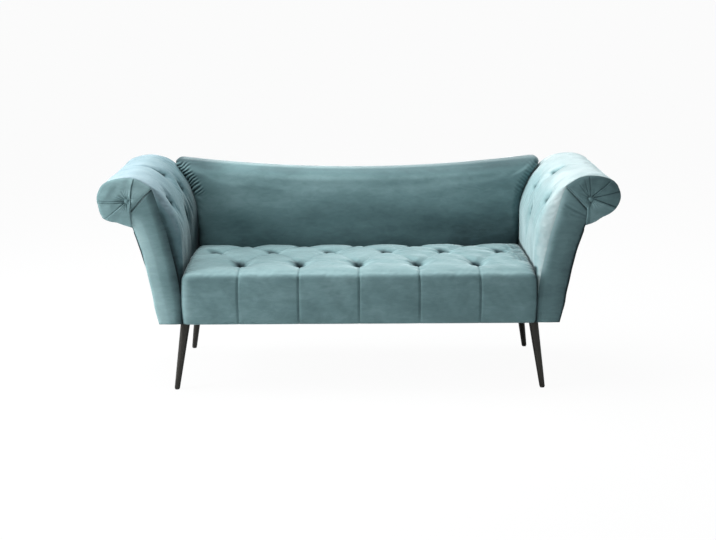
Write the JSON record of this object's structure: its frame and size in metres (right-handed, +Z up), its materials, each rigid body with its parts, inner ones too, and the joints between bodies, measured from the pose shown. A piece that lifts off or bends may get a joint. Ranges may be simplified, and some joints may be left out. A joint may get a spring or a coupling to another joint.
{
  "type": "fainting couch",
  "caption": "Velvet settee with flared rolled arms, a low dipped back, a diamond-tufted seat with channelled front and splayed metal legs.",
  "frame": {"origin": "on the floor, in the middle of the outer box", "axes": "+Z up, front towards -Y, X along the couch with +X to the right as seen from the front"},
  "size_m": [1.8, 0.692, 0.763],
  "materials": {
    "velvet": "teal velvet",
    "foam": "open-cell foam",
    "webbing": "woven jute",
    "dust_cloth": "black non-woven cloth",
    "frame_wood": "unfinished softwood and plywood",
    "hardboard": "hardboard",
    "leg_metal": "satin gunmetal bronze",
    "glide_plastic": "matte",
    "fastener_steel": "zinc plated"
  },
  "bodies": {
    "root": {"seat_front_rail": "frame_wood", "seat_rear_rail": "frame_wood", "seat_side_rail_left": "frame_wood", "seat_side_rail_right": "frame_wood", "seat_cross_rails": "frame_wood", "corner_blocks": "frame_wood", "webbing_front_to_back": "webbing", "webbing_side_to_side": "webbing", "seat_foam": "foam", "seat_tuft_ties": "webbing", "seat_cover": "velvet", "dust_cover": "dust_cloth", "arm_front_board_left": "frame_wood", "arm_rear_board_left": "frame_wood", "arm_bottom_rail_left": "frame_wood", "arm_inner_rail_left": "frame_wood", "arm_roll_rail_left": "frame_wood", "arm_tack_rail_left": "frame_wood", "arm_liner_left": "hardboard", "arm_pad_left": "velvet", "arm_outside_cover_left": "velvet", "arm_front_facing_left": "velvet", "arm_rear_facing_left": "velvet", "scroll_facing_left": "velvet", "scroll_button_left": "velvet", "arm_front_board_right": "frame_wood", "arm_rear_board_right": "frame_wood", "arm_bottom_rail_right": "frame_wood", "arm_inner_rail_right": "frame_wood", "arm_roll_rail_right": "frame_wood", "arm_tack_rail_right": "frame_wood", "arm_liner_right": "hardboard", "arm_pad_right": "velvet", "arm_outside_cover_right": "velvet", "arm_front_facing_right": "velvet", "arm_rear_facing_right": "velvet", "scroll_facing_right": "velvet", "scroll_button_right": "velvet", "back_bottom_rail": "frame_wood", "back_top_rail": "frame_wood", "back_stile_left": "frame_wood", "back_stile_right": "frame_wood", "back_centre_stile": "frame_wood", "back_webbing": "webbing", "back_foam": "foam", "back_cover": "velvet", "back_outside_panel": "velvet", "leg_front_left": "leg_metal", "leg_front_right": "leg_metal", "leg_rear_left": "leg_metal", "leg_rear_right": "leg_metal", "leg_plates": "leg_metal", "leg_screws": "fastener_steel", "foot_glides": "glide_plastic", "arm_bolts": "fastener_steel", "back_bolts": "fastener_steel", "bolt_washers": "fastener_steel", "tee_nuts": "fastener_steel"}
  },
  "joints": []
}
